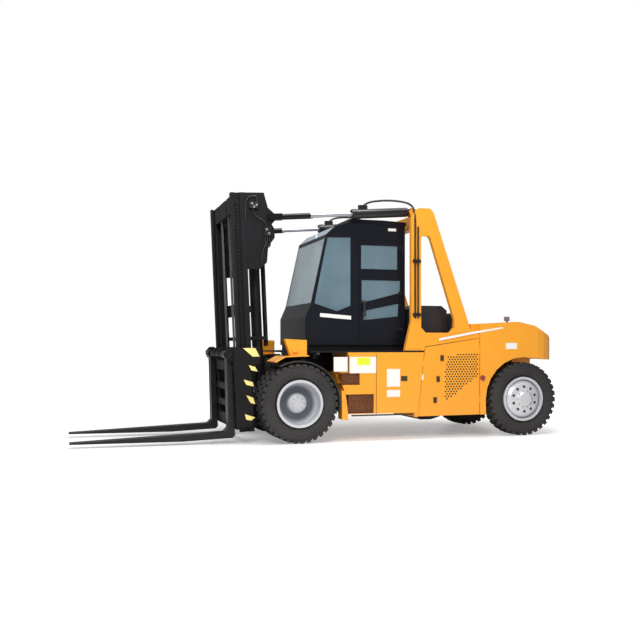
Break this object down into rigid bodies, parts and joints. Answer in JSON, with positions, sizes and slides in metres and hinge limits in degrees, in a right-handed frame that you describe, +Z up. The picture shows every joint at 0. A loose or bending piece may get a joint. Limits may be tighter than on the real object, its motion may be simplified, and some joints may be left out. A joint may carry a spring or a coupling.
{
  "type": "diesel forklift",
  "caption": "Heavy counterbalanced diesel forklift with an overhead-tilt mast, long forks, glazed cab, twin drive tyres and single steered rear wheels.",
  "frame": {"origin": "on the ground, in the middle of the whole length and width", "axes": "+X forward towards the fork tips, +Y to the driver's left, +Z up"},
  "size_m": [7.9686, 2.456, 3.877],
  "materials": {
    "yellow": "gloss orange-yellow paint",
    "black": "satin black paint",
    "silver": "silver wheel paint",
    "tyre": "black tyre rubber",
    "rubber": "black moulded guard",
    "chrome": "polished rod",
    "steel": "bare steel",
    "cast": "dark cast iron",
    "dark_steps": "dark brown perforated steps",
    "glass": "pale blue-grey window glass",
    "fabric": "black seat cloth",
    "plastic": "black plastic",
    "stripes": "black and pale yellow stripes",
    "lamp": "grey lamp",
    "fork": "black fork paint"
  },
  "bodies": {
    "chassis": {"main_frame": "black", "drive_axle": "black", "steer_axle": "black", "counterweight": "yellow", "side_boxes": "yellow", "boarding_steps": "dark_steps", "wheel_guards": "rubber", "fender_brackets": "yellow", "deck": "black", "engine_block": "cast", "engine_cover": "plastic", "belly_tank": "black", "tilt_frame_left": "yellow", "tilt_frame_right": "yellow", "tilt_beam": "yellow", "cab_side_left": "black", "cab_side_right": "black", "cab_front": "black", "cab_rear_wall": "black", "cab_floor": "black", "cab_roof": "black", "cab_glass": "glass", "seat": "fabric", "console": "plastic", "work_lamp": "lamp"},
    "hood": {"hood": "yellow"},
    "mast": {"outer_mast": "black", "lift_cylinders": "black"},
    "inner_mast": {"inner_mast": "black", "lift_rods": "chrome", "lift_chains": "steel"},
    "carriage": {"carriage": "black", "carriage_plates": "stripes"},
    "fork_left": {"fork_left": "fork"},
    "tilt_barrel_left": {"tilt_barrel_left": "black"},
    "tilt_rod_left": {"tilt_rod_left": "chrome"},
    "drive_wheel_left": {"drive_tyres_left": "tyre", "drive_rims_left": "silver"},
    "steer_knuckle_left": {"knuckle_left": "cast"},
    "steer_wheel_left": {"steer_tyre_left": "tyre", "steer_rim_left": "silver"},
    "cab_door_left": {"cab_door_left": "black", "cab_door_glass_left": "glass"},
    "engine_door_left": {"engine_door_left": "yellow"},
    "fork_right": {"fork_right": "fork"},
    "tilt_barrel_right": {"tilt_barrel_right": "black"},
    "tilt_rod_right": {"tilt_rod_right": "chrome"},
    "drive_wheel_right": {"drive_tyres_right": "tyre", "drive_rims_right": "silver"},
    "steer_knuckle_right": {"knuckle_right": "cast"},
    "steer_wheel_right": {"steer_tyre_right": "tyre", "steer_rim_right": "silver"},
    "cab_door_right": {"cab_door_right": "black", "cab_door_glass_right": "glass"},
    "engine_door_right": {"engine_door_right": "yellow"}
  },
  "joints": [
    {"name": "mast_tilt", "type": "hinge", "parent": "chassis", "child": "mast", "pos_m": [0.95566, 0, 0.5], "axis": [0, 1, 0], "range_deg": [-12.5, 3.5]},
    {"name": "mast_lift", "type": "slide", "parent": "mast", "child": "inner_mast", "axis": [0.0436, 0, 0.999], "range_m": [0, 2], "deforming": ["lift_chains"]},
    {"name": "carriage_lift", "type": "slide", "parent": "inner_mast", "child": "carriage", "axis": [0.0436, 0, 0.999], "range_m": [0, 2]},
    {"name": "hood_lid", "type": "hinge", "parent": "chassis", "child": "hood", "pos_m": [-2.85834, 0, 1.862], "axis": [0, -1, 0], "range_deg": [0, 60]},
    {"name": "fork_shift_left", "type": "slide", "parent": "carriage", "child": "fork_left", "axis": [0, 1, 0], "range_m": [-0.42, 0.07]},
    {"name": "tilt_barrel_swing_left", "type": "hinge", "parent": "chassis", "child": "tilt_barrel_left", "pos_m": [-1.37934, 0.9, 3.69], "axis": [0, 1, 0], "range_deg": [-1.5, 4.5]},
    {"name": "tilt_rod_slide_left", "type": "slide", "parent": "tilt_barrel_left", "child": "tilt_rod_left", "axis": [0.9968, 0, -0.0797], "range_m": [-0.66, 0.2]},
    {"name": "drive_wheel_turn_left", "type": "hinge", "parent": "chassis", "child": "drive_wheel_left", "pos_m": [0.59566, 0.88, 0.613], "axis": [0, 1, 0], "continuous": true},
    {"name": "steer_left", "type": "hinge", "parent": "chassis", "child": "steer_knuckle_left", "pos_m": [-3.30434, 0.85, 0.613], "axis": [0, 0, 1], "range_deg": [-45, 45]},
    {"name": "steer_wheel_turn_left", "type": "hinge", "parent": "steer_knuckle_left", "child": "steer_wheel_left", "pos_m": [-3.30434, 1, 0.613], "axis": [0, 1, 0], "continuous": true},
    {"name": "cab_door_swing_left", "type": "hinge", "parent": "chassis", "child": "cab_door_left", "pos_m": [-1.26134, 0.812, 1.5], "axis": [0, 0, 1], "range_deg": [0, 75]},
    {"name": "engine_door_swing_left", "type": "hinge", "parent": "chassis", "child": "engine_door_left", "pos_m": [-2.49634, 1.13, 1], "axis": [0, 0, 1], "range_deg": [0, 85]},
    {"name": "fork_shift_right", "type": "slide", "parent": "carriage", "child": "fork_right", "axis": [0, 1, 0], "range_m": [-0.07, 0.42]},
    {"name": "tilt_barrel_swing_right", "type": "hinge", "parent": "chassis", "child": "tilt_barrel_right", "pos_m": [-1.37934, -0.9, 3.69], "axis": [0, 1, 0], "range_deg": [-1.5, 4.5]},
    {"name": "tilt_rod_slide_right", "type": "slide", "parent": "tilt_barrel_right", "child": "tilt_rod_right", "axis": [0.9968, 0, -0.0797], "range_m": [-0.66, 0.2]},
    {"name": "drive_wheel_turn_right", "type": "hinge", "parent": "chassis", "child": "drive_wheel_right", "pos_m": [0.59566, -0.88, 0.613], "axis": [0, 1, 0], "continuous": true},
    {"name": "steer_right", "type": "hinge", "parent": "chassis", "child": "steer_knuckle_right", "pos_m": [-3.30434, -0.85, 0.613], "axis": [0, 0, 1], "range_deg": [-45, 45]},
    {"name": "steer_wheel_turn_right", "type": "hinge", "parent": "steer_knuckle_right", "child": "steer_wheel_right", "pos_m": [-3.30434, -1, 0.613], "axis": [0, 1, 0], "continuous": true},
    {"name": "cab_door_swing_right", "type": "hinge", "parent": "chassis", "child": "cab_door_right", "pos_m": [-1.26134, -0.812, 1.5], "axis": [0, 0, -1], "range_deg": [0, 75]},
    {"name": "engine_door_swing_right", "type": "hinge", "parent": "chassis", "child": "engine_door_right", "pos_m": [-2.49634, -1.13, 1], "axis": [0, 0, -1], "range_deg": [0, 85]}
  ],
  "couplings": [
    {"joint": "carriage_lift", "follows": "mast_lift", "ratio": 1},
    {"joint": "steer_right", "follows": "steer_left", "ratio": 1},
    {"joint": "tilt_barrel_swing_left", "follows": "mast_tilt", "ratio": -0.225},
    {"joint": "tilt_rod_slide_left", "follows": "mast_tilt", "m_per_rad": 2.94},
    {"joint": "tilt_barrel_swing_right", "follows": "mast_tilt", "ratio": -0.225},
    {"joint": "tilt_rod_slide_right", "follows": "mast_tilt", "m_per_rad": 2.94}
  ]
}
